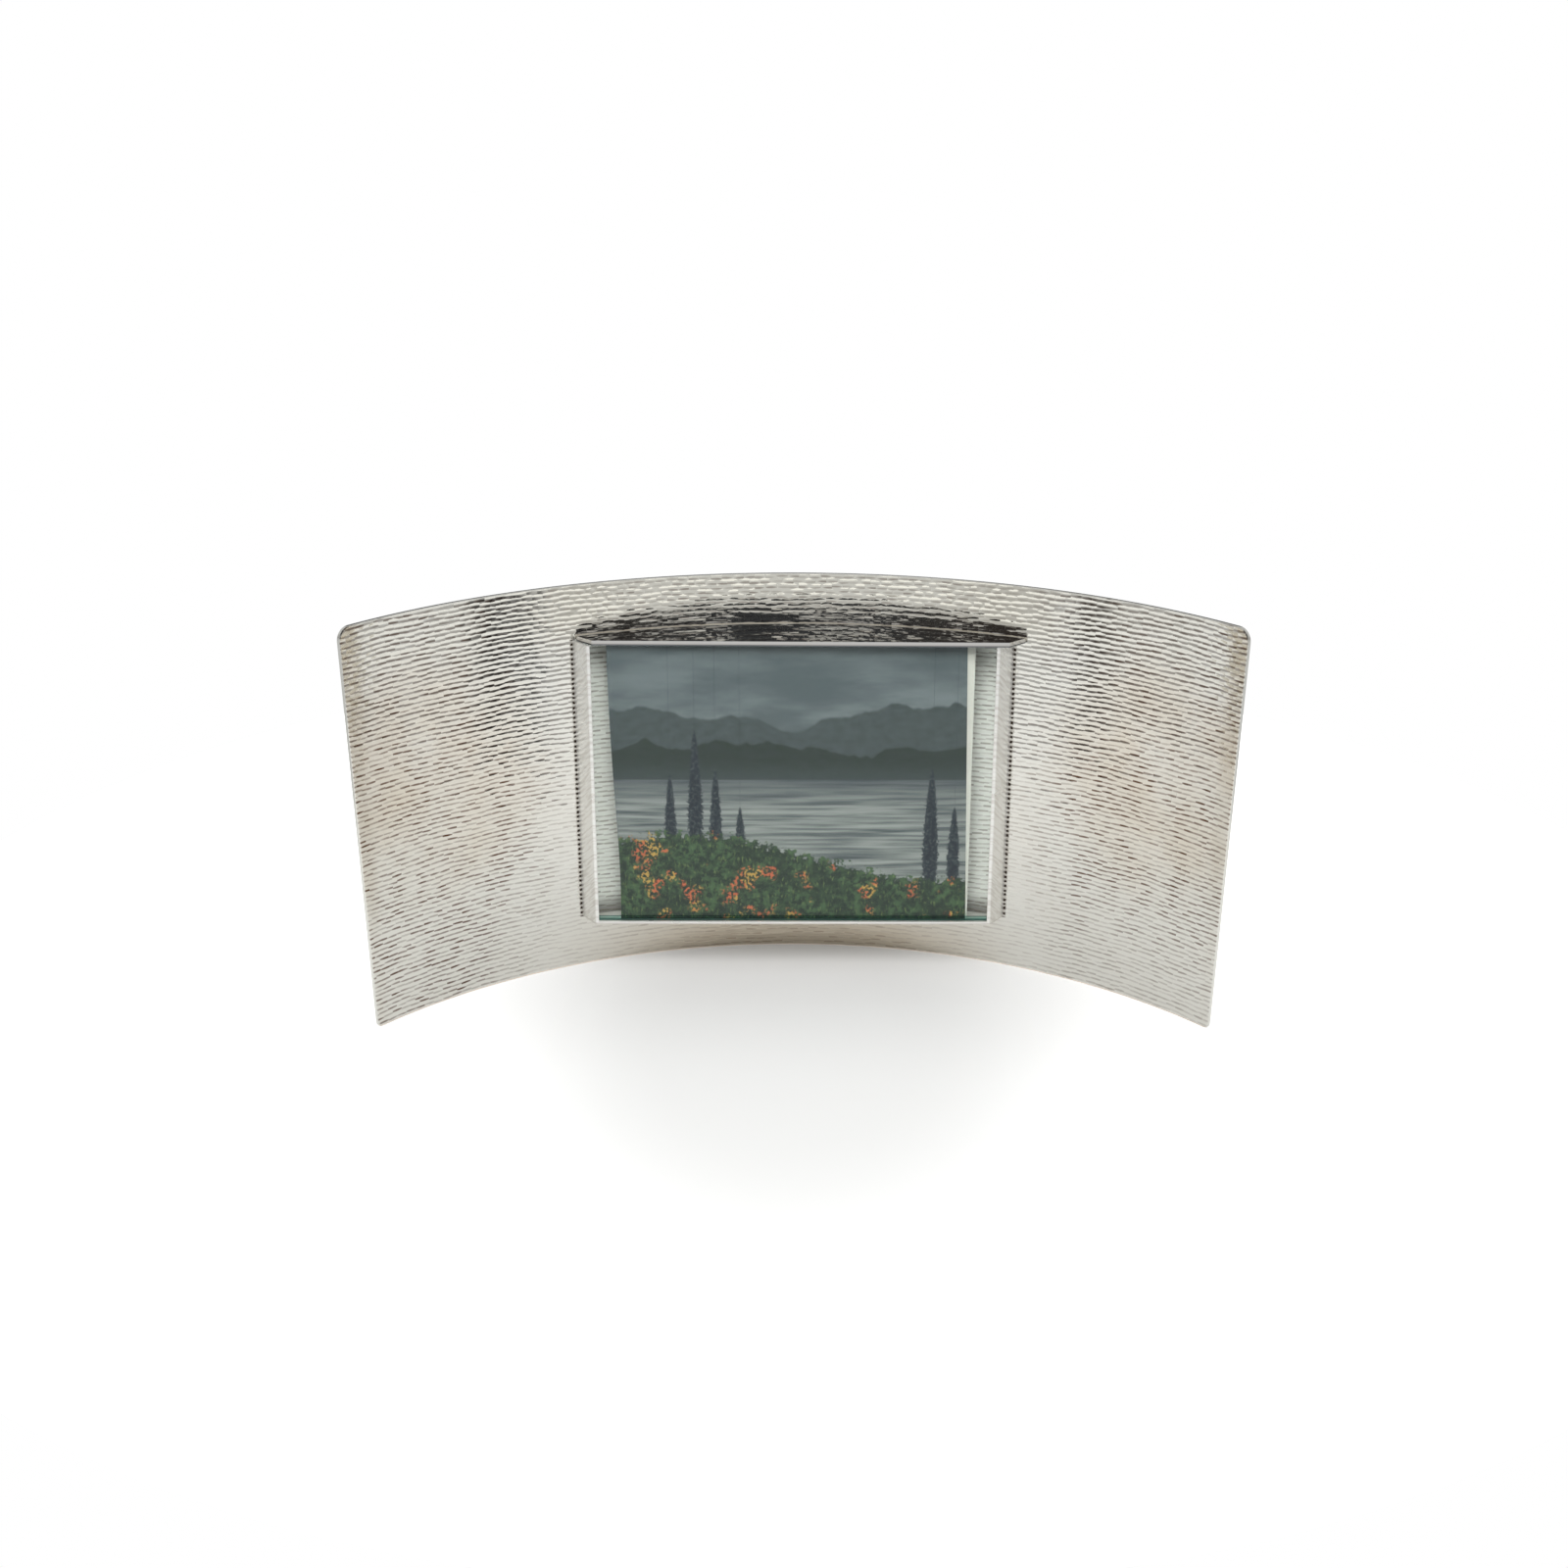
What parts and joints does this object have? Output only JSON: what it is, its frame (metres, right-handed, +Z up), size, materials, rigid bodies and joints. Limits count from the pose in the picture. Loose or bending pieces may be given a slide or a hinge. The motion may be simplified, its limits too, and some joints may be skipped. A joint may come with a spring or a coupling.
{
  "type": "photo frame",
  "caption": "Free-standing photo frame: a tall curved sheet of hammered silver with a glazed picture box soldered in its hollow and a loose lens-shaped lid.",
  "frame": {"origin": "on the ground, under the middle of the whole part's box", "axes": "+X to the viewer's right along the width, +Y from the viewer to the back, +Z up"},
  "size_m": [0.369, 0.0922, 0.181],
  "materials": {
    "hammered_silver": "hammered all over in short horizontal strokes, polished, lightly tarnished in the hollows",
    "polished_silver": "polished, with fine hand-finishing scratches",
    "clear_glass": "clear float glass with a green edge",
    "photo_paper": null,
    "cream_card": "uncoated cream card"
  },
  "bodies": {
    "frame": {"curved_panel": "hammered_silver", "left_rail": "polished_silver", "right_rail": "polished_silver", "base_shelf": "polished_silver"},
    "picture": {"glass_pane": "clear_glass", "photo_print": "photo_paper", "backing_card": "cream_card"},
    "lid": {"top_lid": "polished_silver", "lid_tongues": "polished_silver"}
  },
  "joints": [
    {"name": "picture_lift", "type": "slide", "parent": "frame", "child": "picture", "axis": [0, 0, 1], "range_m": [0, 0.1]},
    {"name": "lid_lift", "type": "slide", "parent": "picture", "child": "lid", "axis": [0, 0, 1], "range_m": [0, 0.03]}
  ]
}
